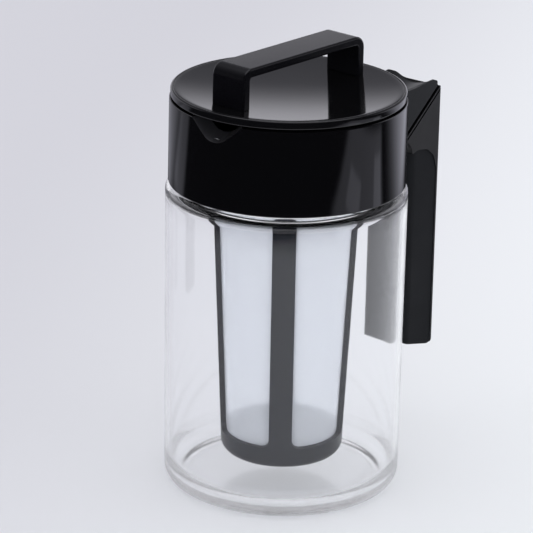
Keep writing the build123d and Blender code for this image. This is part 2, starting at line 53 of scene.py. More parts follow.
# %% Camera
camera_azimuth = math.radians(37.0)
camera_distance = 1.3632
camera_height = 0.5992
photo_side = 533
towards_camera = Vector((math.sin(camera_azimuth), -math.cos(camera_azimuth), 0.0))
towards_right = Vector((math.cos(camera_azimuth), math.sin(camera_azimuth), 0.0))
camera_data = bpy.data.cameras.new("photo_camera")
camera_data.sensor_width = 36.0
camera_data.lens = 216.1
camera = bpy.data.objects.new("photo_camera", camera_data)
bpy.context.scene.collection.objects.link(camera)
pan = Matrix.Rotation(camera_azimuth + math.radians(0.354), 4, "Z")
tilt = Matrix.Rotation(math.radians(90.0 - 20.05), 4, "X")
roll = Matrix.Rotation(math.radians(1.142), 4, "Z")
stand = Matrix.Translation(camera_distance * towards_camera + Vector((0, 0, camera_height)))
camera.matrix_world = stand @ pan @ tilt @ roll
bpy.context.scene.camera = camera


def photo_pixel(point):
    """Where a point in metres lands in the square photograph."""
    local = camera.matrix_world.inverted() @ Vector(point)
    pixels_per_unit = photo_side * camera_data.lens / camera_data.sensor_width
    across = photo_side / 2 + pixels_per_unit * local.x / -local.z
    down = photo_side / 2 - pixels_per_unit * local.y / -local.z
    return across, down


print("base centre lands at", [round(value, 1) for value in photo_pixel((0, 0, 0))])
print("lid centre lands at", [round(value, 1) for value in photo_pixel((0, 0, 0.187))])

# %% [markdown]
# Most of the pitcher is round: the jug, the collar, its inner tube, the lid and the filter are all
# turned shapes. A lathe helper draws half of the cross-section as a flat face, rounds each corner with a
# vertex bevel, drops the face, keeps its outline and spins it once round the Z axis. Rounding the
# corners before the spin costs few vertices and gives soft edges that catch the light.

# %% Lathe helpers
def tangent_length(before, corner, after, rounding):
    """How far from a corner its rounding starts along each side."""
    side_a = Vector(before) - Vector(corner)
    side_b = Vector(after) - Vector(corner)
    opening = side_a.angle(side_b)
    return rounding / math.tan(opening / 2)


def rounded_face(bm, corners, place):
    """A flat face from (across, up, rounding) corners in mm. place turns two numbers into a point."""
    spots = [Vector((across, up)) for across, up, rounding in corners]
    verts = [bm.verts.new(Vector(place(spot.x, spot.y)) * MM) for spot in spots]
    bm.faces.new(verts)
    for index, (across, up, rounding) in enumerate(corners):
        if rounding > 0:
            offset = tangent_length(spots[index - 1], spots[index], spots[(index + 1) % len(spots)], rounding)
            steps = max(2, min(12, round(3 * math.sqrt(rounding))))
            bmesh.ops.bevel(
                bm, geom=[verts[index]], offset=offset * MM, offset_type="OFFSET", segments=steps,
                profile=0.5, affect="VERTICES", material=-1,
            )
    return bm.faces[:]


def close_up(bm):
    """Merges doubled points, then turns every face outwards."""
    bmesh.ops.remove_doubles(bm, verts=bm.verts[:], dist=1e-6)
    bmesh.ops.dissolve_degenerate(bm, edges=bm.edges[:], dist=1e-7)
    bmesh.ops.recalc_face_normals(bm, faces=bm.faces[:])


def half_outline(corners):
    """The open outline, on the XZ plane, of a turned piece with (radius, height, rounding) corners in mm."""
    bm = bmesh.new()
    faces = rounded_face(bm, corners, lambda radius, height: (radius, 0, height))
    bmesh.ops.delete(bm, geom=faces, context="FACES_ONLY")
    on_axis = [edge for edge in bm.edges if all(vert.co.x < 1e-7 for vert in edge.verts)]
    bmesh.ops.delete(bm, geom=on_axis, context="EDGES")
    return bm


def spin_round(bm, steps):
    """Spins an outline once round the Z axis and closes the result."""
    bmesh.ops.spin(
        bm, geom=bm.verts[:] + bm.edges[:], cent=(0, 0, 0), axis=(0, 0, 1), angle=2 * math.pi,
        steps=steps, use_merge=True,
    )
    close_up(bm)
    return bm


def lathe(corners, steps):
    """A turned piece from its (radius, height, rounding) corners in mm."""
    return spin_round(half_outline(corners), steps)


# %% [markdown]
# The side handle, the bar handle, the pouring scoop and the mesh windows are cut or bent from flat
# outlines. A plate is such an outline extruded sideways, and a column is one extruded upwards. Cuts between
# such prisms and turned shapes are left to Blender's exact boolean, and a bevel then breaks the cut's hard
# edges, as a mould would.

# %% Prism helpers
def prism(corners, place, sweep):
    """An outline of rounded corners in mm, put in space by place and extruded along sweep in mm."""
    bm = bmesh.new()
    faces = rounded_face(bm, corners, place)
    grown = bmesh.ops.extrude_face_region(bm, geom=faces)
    far_side = [item for item in grown["geom"] if isinstance(item, bmesh.types.BMVert)]
    bmesh.ops.translate(bm, verts=far_side, vec=Vector(sweep) * MM)
    close_up(bm)
    return bm


def plate(corners, half_width):
    """A plate whose (Y, Z, rounding) outline is extruded along X, half_width to each side."""
    return prism(corners, lambda y, z: (-half_width, y, z), (2 * half_width, 0, 0))


def column(corners, low, high):
    """A column whose (X, Y, rounding) plan is extruded from one height to another."""
    return prism(corners, lambda x, y: (x, y, low), (0, 0, high - low))


def turned(bm, angle, axis):
    """Turns a whole bmesh about an axis through the origin."""
    bmesh.ops.rotate(bm, verts=bm.verts[:], cent=(0, 0, 0), matrix=Matrix.Rotation(angle, 3, axis))
    return bm


# %% Object, cut and edge helpers
def to_object(bm, name):
    """Puts a finished bmesh in a new object at the origin."""
    mesh = bpy.data.meshes.new(name)
    bm.to_mesh(mesh)
    bm.free()
    made = bpy.data.objects.new(name, mesh)
    bpy.context.scene.collection.objects.link(made)
    return made


def to_bmesh(tool):
    """Takes a tool's mesh back as a bmesh and removes the tool's object."""
    bm = bmesh.new()
    bm.from_mesh(tool.data)
    bpy.data.objects.remove(tool)
    return bm


def bake_modifiers(piece):
    """Replaces a piece's mesh by what its modifiers make of it."""
    depsgraph = bpy.context.evaluated_depsgraph_get()
    shaped = bpy.data.meshes.new_from_object(piece.evaluated_get(depsgraph))
    piece.modifiers.clear()
    piece.data = shaped


def combine(piece, tool_bm, operation):
    """Cuts a tool's shape out of a piece with DIFFERENCE, or keeps what they share with INTERSECT."""
    tool = to_object(tool_bm, piece.name + "_tool")
    boolean = piece.modifiers.new("boolean", "BOOLEAN")
    boolean.operation = operation
    boolean.solver = "EXACT"
    boolean.object = tool
    bake_modifiers(piece)
    bpy.data.objects.remove(tool)


def break_edges(piece, width, segments, angle):
    """Bevels every edge sharper than an angle, width in mm."""
    bevel = piece.modifiers.new("soft_edges", "BEVEL")
    bevel.width = width * MM
    bevel.segments = segments
    bevel.limit_method = "ANGLE"
    bevel.angle_limit = math.radians(angle)
    bevel.harden_normals = True
    bake_modifiers(piece)


# %% [markdown]
# A finished piece is dressed: it gets smooth shading with sharp edges kept, its material and the body that
# it rides on, and the CAD nodes that it stands for are hidden. Weighted normals follow the large faces, so a
# flat side next to a small bevel stays flat in reflections. Where one piece has more than one finish, the
# extra one goes on the faces that a test picks.

# %% Finish helpers
def dress(piece, material, body, slot, *nodes):
    """Shades a piece, gives it its material and its body, and hides the nodes it replaces; slot is not used.
    """
    piece.data.materials.clear()
    piece.data.materials.append(material)
    piece.data.shade_smooth()
    piece.data.set_sharp_from_angle(angle=math.radians(35.0))
    flat_first = piece.modifiers.new("flat_faces_first", "WEIGHTED_NORMAL")
    flat_first.mode = "FACE_AREA"
    flat_first.weight = 100
    flat_first.keep_sharp = True
    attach(piece, body)
    if nodes:
        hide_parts(*nodes)
    triangles = sum(len(face.vertices) - 2 for face in piece.data.polygons)
    size = [round(1000 * value, 1) for value in piece.dimensions]
    print(piece.name, "triangles", triangles, "size in mm", size)


def extra_finish(piece, material, wanted):
    """Gives a material to the faces that wanted picks by their middle in mm and their normal."""
    piece.data.materials.append(material)
    picked = [face for face in piece.data.polygons if wanted(face.center / MM, face.normal)]
    for face in picked:
        face.material_index = len(piece.data.materials) - 1
    print(piece.name, "faces in", material.name, len(picked))


# %% [markdown]
# Materials, the floor and the studio's world are small node graphs. Four helpers keep them readable: a
# smooth step of a value, the same along a direction in space, a blend of two colours and one step of
# arithmetic.

# %% Node helpers
def smooth_step(tree, value_socket, low, high, start=0.0, end=1.0):
    """A smooth step from start to end as a value goes from low to high."""
    ramp = tree.nodes.new("ShaderNodeMapRange")
    ramp.interpolation_type = "SMOOTHSTEP"
    ramp.inputs["From Min"].default_value = low
    ramp.inputs["From Max"].default_value = high
    ramp.inputs["To Min"].default_value = start
    ramp.inputs["To Max"].default_value = end
    tree.links.new(value_socket, ramp.inputs["Value"])
    return ramp.outputs["Result"]


def along(tree, vector_socket, direction, low, high, start=0.0, end=1.0):
    """A smooth step from start to end as a point moves from low to high along a direction."""
    dot = tree.nodes.new("ShaderNodeVectorMath")
    dot.operation = "DOT_PRODUCT"
    dot.inputs[1].default_value = direction
    tree.links.new(vector_socket, dot.inputs[0])
    return smooth_step(tree, dot.outputs["Value"], low, high, start, end)


def blended(tree, factor_socket, first, second):
    """A colour that goes from first to second. Each is a colour or a socket."""
    mix = tree.nodes.new("ShaderNodeMix")
    mix.data_type = "RGBA"
    tree.links.new(factor_socket, mix.inputs["Factor"])
    for name, value in (("A", first), ("B", second)):
        if isinstance(value, tuple):
            mix.inputs[name].default_value = (*value, 1.0)
        else:
            tree.links.new(value, mix.inputs[name])
    return mix.outputs["Result"]


def arithmetic(tree, operation, first, second):
    """One Math node on two inputs. Each is a number or a socket."""
    step = tree.nodes.new("ShaderNodeMath")
    step.operation = operation
    for index, value in enumerate((first, second)):
        if isinstance(value, (int, float)):
            step.inputs[index].default_value = value
        else:
            tree.links.new(value, step.inputs[index])
    return step.outputs["Value"]


# %% [markdown]
# Every plastic here has the same build-up: a base colour, a roughness that wanders a little because no
# mould is polished evenly, and a fine bump for the moulded grain. One function makes them all, and each
# finish below only chooses its numbers. Patterns read Object coordinates, in metres, so they stay on the
# piece when it moves.

# %% Moulded plastic helper
def moulded(name, colour, roughness, spread, grain_mm, bump_um, specular=0.5):
    """A Principled plastic with noise in its roughness and a fine bump."""
    material = bpy.data.materials.new(name)
    material.use_nodes = True
    nodes = material.node_tree.nodes
    links = material.node_tree.links
    surface = nodes["Principled BSDF"]
    surface.inputs["Base Color"].default_value = (*colour, 1.0)
    surface.inputs["Specular IOR Level"].default_value = specular
    place = nodes.new("ShaderNodeTexCoord")
    polish = nodes.new("ShaderNodeTexNoise")
    polish.inputs["Scale"].default_value = 45.0
    polish.inputs["Detail"].default_value = 3.0
    links.new(place.outputs["Object"], polish.inputs["Vector"])
    wander = nodes.new("ShaderNodeMapRange")
    wander.inputs["From Min"].default_value = 0.3
    wander.inputs["From Max"].default_value = 0.7
    wander.inputs["To Min"].default_value = roughness - spread
    wander.inputs["To Max"].default_value = roughness + spread
    links.new(polish.outputs["Fac"], wander.inputs["Value"])
    links.new(wander.outputs["Result"], surface.inputs["Roughness"])
    grain = nodes.new("ShaderNodeTexNoise")
    grain.inputs["Scale"].default_value = 1000.0 / grain_mm
    grain.inputs["Detail"].default_value = 2.0
    links.new(place.outputs["Object"], grain.inputs["Vector"])
    bump = nodes.new("ShaderNodeBump")
    bump.inputs["Strength"].default_value = 1.0
    bump.inputs["Distance"].default_value = bump_um * 1e-6
    links.new(grain.outputs["Fac"], bump.inputs["Height"])
    links.new(bump.outputs["Normal"], surface.inputs["Normal"])
    return material


# %% [markdown]
# The black parts differ mostly in polish. The collar and the lid come from mirror-polished moulds, the
# scoop's floor, the bar and the filter frame are satin, the arm has a fine spark-eroded grain, and the grip
# is a soft rubber skin with a duller pad. Polished black plastic sends back about four percent of the light
# that meets it square on. The dull finishes get a lower specular level, because light is lost in their
# grain. Three colours are painted light and shade: the scoop's floor is lighter, painted light for the light
# that it catches; the pad is darker, painted shade for its recess; and the grooves are near-black with almost
# no specular level, painted shade, since they are narrow and deep.

# %% Black finishes
gloss_black = moulded("gloss_black", (0.0016, 0.0016, 0.0020), 0.06, 0.015, 14.0, 6.0)
# Painted light: the scoop's floor gets a lighter colour than the gloss black round it, for the light that it
# catches.
scoop_painted_light = moulded("scoop_painted_light", (0.014, 0.014, 0.016), 0.30, 0.05, 0.6, 4.0)
lid_black = moulded("lid_black", (0.0025, 0.0025, 0.0030), 0.08, 0.02, 16.0, 8.0)
bar_black = moulded("bar_black", (0.002, 0.002, 0.003), 0.17, 0.04, 0.8, 2.0, specular=0.42)
arm_black = moulded("arm_black", (0.007, 0.008, 0.009), 0.40, 0.05, 0.5, 6.0, specular=0.18)
grip_black = moulded("grip_black", (0.012, 0.012, 0.013), 0.58, 0.06, 0.35, 8.0, specular=0.30)
# Painted shade: the drawn-in pad is a darker copy of the grip's rubber, for the shade in its recess.
pad_painted_shade = moulded("pad_painted_shade", (0.007, 0.008, 0.010), 0.62, 0.06, 0.35, 8.0, specular=0.16)
# Painted shade: near-black with almost no specular level, for the shade in the grip's grooves and round the
# core.
painted_groove_shade = moulded("painted_groove_shade", (0.0015, 0.0015, 0.0018), 0.80, 0.05, 0.35, 8.0, specular=0.05)
frame_black = moulded("frame_black", (0.006, 0.007, 0.012), 0.36, 0.05, 0.6, 4.0, specular=0.10)
liner_black = moulded("liner_black", (0.006, 0.006, 0.007), 0.30, 0.05, 0.7, 5.0)
print("black finishes made")

# %% [markdown]
# Two more finishes are needed where the pitcher comes apart: the grey silicone of the seals and the plain
# steel of the screws. Steel is the same build-up with its colour turned metallic.

# %% Silicone and steel
seal_grey = moulded("seal_grey", (0.30, 0.31, 0.33), 0.50, 0.05, 0.5, 5.0)
screw_steel = moulded("screw_steel", (0.60, 0.60, 0.60), 0.28, 0.06, 0.2, 2.0)
screw_steel.node_tree.nodes["Principled BSDF"].inputs["Metallic"].default_value = 1.0
print("seal and screw finishes made")

# %% [markdown]
# The jug is clear moulded plastic. Its wall is a real solid with an inside and an outside, so the shader
# can bend light as the plastic does, with full transmission and a refractive index of 1.5. The wall is
# nearly polished, and a broad, very shallow bump stands for its slight waviness. In the photograph the base
# looks softer than the wall, so some roughness is added near the floor, and it fades out by 24 mm.

# %% Clear plastic
clear_plastic = moulded("clear_plastic", (0.99, 0.992, 1.0), 0.03, 0.01, 22.0, 40.0)
clear_tree = clear_plastic.node_tree
clear_surface = clear_tree.nodes["Principled BSDF"]
clear_surface.inputs["Transmission Weight"].default_value = 1.0
clear_surface.inputs["IOR"].default_value = 1.5
wall_polish = clear_surface.inputs["Roughness"].links[0].from_socket
clear_spot = clear_tree.nodes.new("ShaderNodeTexCoord").outputs["Object"]
base_haze = along(clear_tree, clear_spot, (0, 0, 1), 0.012, 0.024, start=0.10, end=0.0)
hazy_polish = arithmetic(clear_tree, "ADD", wall_polish, base_haze)
clear_tree.links.new(hazy_polish, clear_surface.inputs["Roughness"])
print("clear plastic index", clear_surface.inputs["IOR"].default_value)

# %% [markdown]
# The jug: a straight, slightly drafted wall, a tight rounded shoulder, a narrower neck that the collar
# covers, and a flat base with rounded corners inside and out. A low rib round the neck is where the collar
# snaps on. Clear plastic shows every flat spot, so the jug gets a fine spin.

# %% Jug
neck_radius = 50.6
neck_inside = 48.6
neck_top = 172.6
shoulder = 143.0
snap_radius = 51.0
base_thickness = 3.0
jug_outline = [
    (0, 0, 0),
    (54.0, 0, 7.0),
    (54.7, shoulder, 3.8),
    (neck_radius, shoulder, 0.5),
    (neck_radius, 158.6, 0.1),
    (snap_radius, 158.9, 0.1),
    (snap_radius, 160.3, 0.1),
    (neck_radius, 160.6, 0.1),
    (neck_radius, neck_top, 0.4),
    (neck_inside, neck_top, 0.4),
    (neck_inside, 139.4, 0.4),
    (52.7, 139.4, 3.4),
    (52.0, base_thickness, 12.0),
    (0, base_thickness, 0),
]
jug = to_object(lathe(jug_outline, steps=256), "jug")
dress(jug, clear_plastic, "pitcher", "clear_body", "pitcher_body")

# %% [markdown]
# The collar: one gloss black ring whose roof closes over the neck and holds the bore that the lid seals
# in. It is turned first. The pouring scoop is a rounded V that falls outwards, so its cutter is a
# V-shaped prism, tipped by the fall and set at the front of the rim. In the photograph the scoop's floor
# looks duller and lighter than the ring round it, as it catches light, so its faces get a satin finish and a
# lighter colour, which is painted light.

# %% Collar ring
collar_low = 143.4
collar_top = 182.5
rim_radius = 53.25
bore_radius = 46.1
roof_low = 175.0
collar_inside = 51.1
collar_outline = [
    (53.5, collar_low, 0.6),
    (rim_radius, collar_top, 0.6),
    (bore_radius, collar_top, 0.4),
    (bore_radius, roof_low, 0),
    (collar_inside, roof_low, 0),
    (collar_inside, collar_low, 0.4),
]
collar = to_object(lathe(collar_outline, steps=256), "collar_shell")
print("collar height in mm", round(collar_top - collar_low, 1))

# %% Pouring scoop
scoop_half_width = 14.7
scoop_depth = 10.3
scoop_round = 10.4
scoop_fall = math.radians(26.0)
scoop_corners = [
    (-2 * scoop_half_width, scoop_depth, 0),
    (0, -scoop_depth, scoop_round),
    (2 * scoop_half_width, scoop_depth, 0),
]
scoop_bm = turned(prism(scoop_corners, lambda x, z: (x, 23.0, z), (0, -33.0, 0)), scoop_fall, "X")
bmesh.ops.translate(scoop_bm, verts=scoop_bm.verts[:], vec=(0, -rim_radius * MM, collar_top * MM))
combine(collar, scoop_bm, "DIFFERENCE")
break_edges(collar, 0.45, segments=3, angle=38.0)
dress(collar, gloss_black, "pitcher", "gloss_black", "collar")


def in_scoop(spot, normal):
    """Whether a face of the collar is one of the scoop's own, between the bore and the outside."""
    between = bore_radius + 0.3 < math.hypot(spot.x, spot.y) < rim_radius - 0.25
    at_front = spot.y < -40 and collar_top - scoop_depth - 0.2 < spot.z < collar_top - 0.2
    return between and at_front and abs(normal.z) > 0.1


# The scoop's faces get the satin finish with its painted light.
extra_finish(collar, scoop_painted_light, in_scoop)

# %% [markdown]
# Inside the collar sit the inner tube, which carries the lid's bore on down, and the grey gasket on the
# neck's lip. In the photograph the collar hides both. They are plain turned rings with soft edges.

# %% Inner tube and gasket
tube_radius = 48.3
tube_low = 146.0
tube_outline = [
    (bore_radius, tube_low, 0.5),
    (tube_radius, tube_low, 0.5),
    (tube_radius, roof_low, 0.2),
    (bore_radius, roof_low, 0.2),
]
inner_tube = to_object(lathe(tube_outline, steps=192), "inner_tube")
dress(inner_tube, liner_black, "pitcher", "liner_black", "collar_sleeve")
gasket_outline = [
    (tube_radius, neck_top, 0.3),
    (neck_radius, neck_top, 0.3),
    (neck_radius, roof_low, 0.3),
    (tube_radius, roof_low, 0.3),
]
gasket = to_object(lathe(gasket_outline, steps=128), "neck_gasket")
dress(gasket, seal_grey, "pitcher", "seal_rubber", "neck_seal")

# %% [markdown]
# The lid: a gloss disc with a rounded rim, a hairline groove just inside it and a very shallow dish.
# The dish matters more than its depth suggests, because it bends the reflection of the bar handle. The
# top line of the outline is subdivided and pulled down along a parabola before the spin.

# %% Lid disc
lid_radius = 52.75
lid_inner = 50.15
lid_top = 186.9
lid_underside = 182.7
rim_low = 183.4
lid_dish = 2.3
groove_depth = 0.35


def dish_height(radius):
    """Height of the dished top in mm."""
    return lid_top - lid_dish + lid_dish * min(1.0, radius / lid_inner) ** 2


lid_corners = [
    (0, lid_underside, 0),
    (lid_inner, lid_underside, 0.3),
    (lid_inner, rim_low, 0),
    (lid_radius, rim_low, 0.5),
    (lid_radius, lid_top, 0.8),
    (51.55, lid_top, 0.12),
    (51.45, lid_top - groove_depth, 0.05),
    (51.15, lid_top - groove_depth, 0.05),
    (51.05, lid_top, 0.12),
    (lid_inner, lid_top, 0),
    (0, lid_top, 0),
]
lid_bm = half_outline(lid_corners)
top_line = [
    edge for edge in lid_bm.edges
    if edge.calc_length() > 40 * MM and all(vert.co.z > (lid_top - 0.9) * MM for vert in edge.verts)
]
bmesh.ops.subdivide_edges(lid_bm, edges=top_line, cuts=36)
for vert in lid_bm.verts:
    if vert.co.z > (lid_top - 0.01) * MM and vert.co.x < (lid_inner - 0.01) * MM:
        vert.co.z = dish_height(vert.co.x / MM) * MM
lid = to_object(spin_round(lid_bm, 256), "lid_disc")
dress(lid, lid_black, "lid", "lid_black", "lid_cover")

# %% [markdown]
# The bar handle is a strap bent into an inverted U, screwed to the lid from below. Its outline is drawn
# from the side, given its bend radii, extruded to the strap's width and turned a little, as the lid stands
# in the photograph. Its long edges get a small round, because the real edge shows as a pale line in the
# light.

# %% Bar handle
lid_turn = math.radians(-3.9)
bar_half = 40.7
bar_half_width = 9.3
bar_top = 204.5
bar_thickness = 4.1
bar_leg = 4.5
bar_inside = bar_half - bar_leg
bar_low = dish_height(bar_half - bar_leg / 2) - 0.4
bar_corners = [
    (-bar_half, bar_low, 0),
    (-bar_half, bar_top, 5.5),
    (bar_half, bar_top, 5.5),
    (bar_half, bar_low, 0),
    (bar_inside, bar_low, 0),
    (bar_inside, bar_top - bar_thickness, 1.4),
    (-bar_inside, bar_top - bar_thickness, 1.4),
    (-bar_inside, bar_low, 0),
]
bar = to_object(turned(plate(bar_corners, bar_half_width), lid_turn, "Z"), "bar_handle")
break_edges(bar, 0.9, segments=4, angle=50.0)
dress(bar, bar_black, "lid", "bar_black", "lid_handle")

# %% [markdown]
# The side handle is an arm from the collar that carries on down as the core of the grip. What shows is
# the arm's flat side, its dished thumb rest between two ears, the rounded nose and the slanted end that
# the rubber grip meets. All its parts are cut from one side outline, and the slanted ends are lines
# parallel to one seam, so those are defined first.

# %% Handle outline and seam
arm_half = 13.0
arm_root = 52.3
arm_low = 146.4
arm_high = 170.4
ear_top = 171.5
thumb_depth = 4.2
seam_high = 166.4
grip_outer = 102.4
grip_inner = 79.6
seam_slope = math.tan(math.radians(36.5))
seam_square = 1 / math.cos(math.radians(36.5))
handle_corners = [
    (arm_root, arm_high, 0),
    (82.0, arm_high, 60.0),
    (94.6, ear_top, 1.5),
    (98.0, 170.2, 1.2),
    (98.0, 168.3, 0.4),
    (grip_outer, seam_high, 0),
    (grip_outer, 37.4, 5.0),
    (grip_inner, 42.7, 5.0),
    (grip_inner, arm_low, 9.0),
    (arm_root, arm_low, 0),
]


def seam_at(y, offset=0.0):
    """Height of a line parallel to the seam, offset square to it, at a distance from the axis."""
    return seam_high - (grip_outer - y) * seam_slope + offset * seam_square


def below_seam(offset, half_width=30.0):
    """A block that fills everything below a line parallel to the seam."""
    corners = [
        (30, seam_at(30, offset), 0),
        (130, seam_at(130, offset), 0),
        (130, -20, 0),
        (30, -20, 0),
    ]
    return plate(corners, half_width)


def plan(half_width, outer, inner, outer_round=0.0, inner_round=0.0, taper=0.0):
    """A plan of the grip from above as (X, Y, rounding) corners, narrower by taper on the finger side."""
    return [
        (-half_width, outer, outer_round),
        (half_width, outer, outer_round),
        (half_width - taper, inner, inner_round),
        (taper - half_width, inner, inner_round),
    ]


print("seam meets the finger side at", round(seam_at(grip_inner), 1), "mm")

# %% [markdown]
# The thumb rest is a shallow trough along the arm's top. A long cylinder lying along Y cuts it, and the
# cylinder's radius follows from the trough's half width and depth.

# %% Arm
def thumb_cylinder():
    """The long cylinder that cuts the thumb rest's trough along the arm's top."""
    trough_half = 12.4
    bend = (trough_half ** 2 + thumb_depth ** 2) / (2 * thumb_depth) * MM
    bm = bmesh.new()
    bmesh.ops.create_cone(bm, cap_ends=True, segments=256, radius1=bend, radius2=bend, depth=0.2)
    turned(bm, math.pi / 2, "X")
    bmesh.ops.translate(bm, verts=bm.verts[:], vec=(0, 0.1, (ear_top - thumb_depth) * MM + bend))
    return bm


arm_end = 3.7
arm = to_object(plate(handle_corners, arm_half), "arm_bracket")
combine(arm, below_seam(arm_end), "DIFFERENCE")
combine(arm, thumb_cylinder(), "DIFFERENCE")
break_edges(arm, 0.5, segments=3, angle=35.0)
dress(arm, arm_black, "pitcher", "matte_black", "handle_arm")

# %% [markdown]
# The grip is a soft sleeve pulled over the core. It is what the side outline and a column with rounded palm
# edges have in common, cut off just above the seam. Below an arch the finger side is drawn in, which a
# second tool cuts: the arch's plate less the narrower column that stays. The seam itself is a fine groove
# that runs round the skin, and the core shows in the wider groove above.

# %% Grip sleeve
grip_end = 1.8
groove = 0.9
palm_round = 2.5
arch_top = 139.6
pad_outer = 99.5
tool_low = -30.0
tool_high = 220.0
arch_corners = [
    (69.5, 126.6, 0),
    (69.5, -20, 0),
    (pad_outer, -20, 0),
    (pad_outer, 126.6, 0),
    (97.0, 134.0, 6.0),
    (91.5, 138.2, 6.0),
    (84.5, arch_top, 8.0),
    (77.5, 138.2, 6.0),
    (72.0, 134.0, 6.0),
]
drawn_in = to_object(plate(arch_corners, 30.0), "drawn_in")
drawn_plan = plan(arm_half, grip_outer, grip_inner, palm_round, 6.0, taper=2.4)
combine(drawn_in, column(drawn_plan, tool_low, tool_high), "DIFFERENCE")
seam_groove = to_object(below_seam(groove), "seam_groove")
combine(seam_groove, below_seam(0.0, 40.0), "DIFFERENCE")
groove_floor = plan(arm_half - groove, grip_outer - groove, grip_inner + groove, 2.0, 2.0)
combine(seam_groove, column(groove_floor, tool_low, tool_high), "DIFFERENCE")
grip_plan = plan(arm_half, grip_outer, grip_inner - 9.0, palm_round)
grip = to_object(plate(handle_corners, arm_half), "grip_skin")
combine(grip, column(grip_plan, tool_low, tool_high), "INTERSECT")
combine(grip, below_seam(grip_end), "INTERSECT")
combine(grip, to_bmesh(drawn_in), "DIFFERENCE")
combine(grip, to_bmesh(seam_groove), "DIFFERENCE")
break_edges(grip, 0.35, segments=3, angle=35.0)
dress(grip, grip_black, "pitcher", "grip_rubber", "grip_sleeve")

# %% [markdown]
# The grip's skin has three looks: the plain rubber; the fine groove and the sleeve's end, where hardly any
# light gets in, painted near-black as shade; and the drawn-in pad, a little duller and painted darker as
# the shade in its recess. A face's height above the seam and its place on the grip tell them apart.

# %% Grooves and pad of the grip
def in_groove(spot, normal):
    """Whether a face lies in the fine groove or on the sleeve's slanted end."""
    above_seam = (spot.z - seam_at(spot.y)) / seam_square
    return -0.02 < above_seam < groove + 0.02 or above_seam > grip_end - 0.08


def on_pad(spot, normal):
    """Whether a face belongs to the drawn-in pad below the arch."""
    return spot.z < arch_top + 0.1 and abs(spot.x) < arm_half - 0.03 and spot.y < pad_outer + 0.1


# The grooves and the sleeve's end get the near-black painted shade, the pad its darker painted shade.
extra_finish(grip, painted_groove_shade, in_groove)
extra_finish(grip, pad_painted_shade, on_pad)

# %% [markdown]
# In the wide groove between arm and sleeve the core shows, painted near-black as the shade deep in the
# groove. It is a column kept inside the handle's outline and below the thumb rest. A short web beside it,
# in the same painted shade, closes the groove towards the fingers, so that no light comes through.

# %% Core and web in the wide groove
core_inset = 2.6
core_half = arm_half - core_inset
core_end = 4.5
web_end = 4.2
web_start = 1.2
inner_corners = [(y, z - 0.3, rounding) for y, z, rounding in handle_corners]
core_plan = plan(core_half, grip_outer - core_inset, grip_inner + core_inset, 4.0, 4.7)
core = to_object(column(core_plan, 120.0, 170.0), "grip_core")
combine(core, below_seam(core_end), "INTERSECT")
combine(core, plate(inner_corners, arm_half), "INTERSECT")
combine(core, thumb_cylinder(), "DIFFERENCE")
dress(core, painted_groove_shade, "pitcher", "matte_black")
web = to_object(column(plan(core_half, 84.8, 73.5), 130.0, 172.0), "seam_bridge")
combine(web, below_seam(web_end), "INTERSECT")
combine(web, below_seam(web_start, 40.0), "DIFFERENCE")
dress(web, painted_groove_shade, "pitcher", "matte_black")

# %% [markdown]
# The filter frame is a tapered shell: a cup at the bottom, four ribs and a top ring. The shell is turned in
# one piece, and four blocks with rounded edges cut the mesh windows out of it, so the ribs keep the shell's
# own curve.

# %% Filter frame
rib_turn = math.radians(36.0)
rib_half = 5.2
cup_low = 13.7
cup_floor = 16.0
cup_top = 24.1
ring_low = 146.2
ring_top = 160.2
ring_step = 148.6
ring_radius = 37.7
ring_inside = 35.3
shell_inside = 31.14
cup_inside = 25.8
frame_outline = [
    (0, cup_low, 0),
    (27.75, cup_low, 5.0),
    (28.2, cup_top, 0),
    (33.54, ring_low, 0),
    (ring_radius, ring_low, 0.6),
    (ring_radius, ring_top, 0.5),
    (ring_inside, ring_top, 0.5),
    (ring_inside, ring_step, 0),
    (shell_inside, ring_step, 0),
    (shell_inside, ring_low, 0),
    (cup_inside, cup_top, 0),
    (25.4, cup_floor, 3.0),
    (0, cup_floor, 0),
]


def window_block(turn):
    """A block that cuts one mesh window between two ribs, with rounded upper and lower edges."""
    side = 45.0
    bm = bmesh.new()
    bmesh.ops.create_cube(bm, size=1.0)
    bmesh.ops.scale(bm, verts=bm.verts[:], vec=Vector((side, side, ring_low - cup_top)) * MM)
    near = rib_half + side / 2
    middle = Vector((near, -near, (ring_low + cup_top) / 2)) * MM
    bmesh.ops.translate(bm, verts=bm.verts[:], vec=middle)
    beside_rib = (rib_half + 0.8) * MM
    round_edges = [
        edge for edge in bm.edges
        if abs(edge.verts[0].co.z - edge.verts[1].co.z) < 1e-6
        and (all(vert.co.x < beside_rib for vert in edge.verts)
             or all(vert.co.y > -beside_rib for vert in edge.verts))
    ]
    bmesh.ops.bevel(
        bm, geom=round_edges, offset=3.5 * MM, offset_type="OFFSET", segments=6, profile=0.5,
        affect="EDGES", material=-1,
    )
    close_up(turned(bm, turn, "Z"))
    return bm


cage = to_object(lathe(frame_outline, steps=192), "filter_cage")
for index in range(4):
    combine(cage, window_block(rib_turn + index * math.pi / 2), "DIFFERENCE")
break_edges(cage, 0.4, segments=2, angle=40.0)
dress(cage, frame_black, "filter", "frame_black", "filter_frame")

# %% [markdown]
# Three small lugs stand out of the filter's ring and lock in the lid's plug when the filter is turned, as
# on a bayonet. Each is a small block with soft edges.

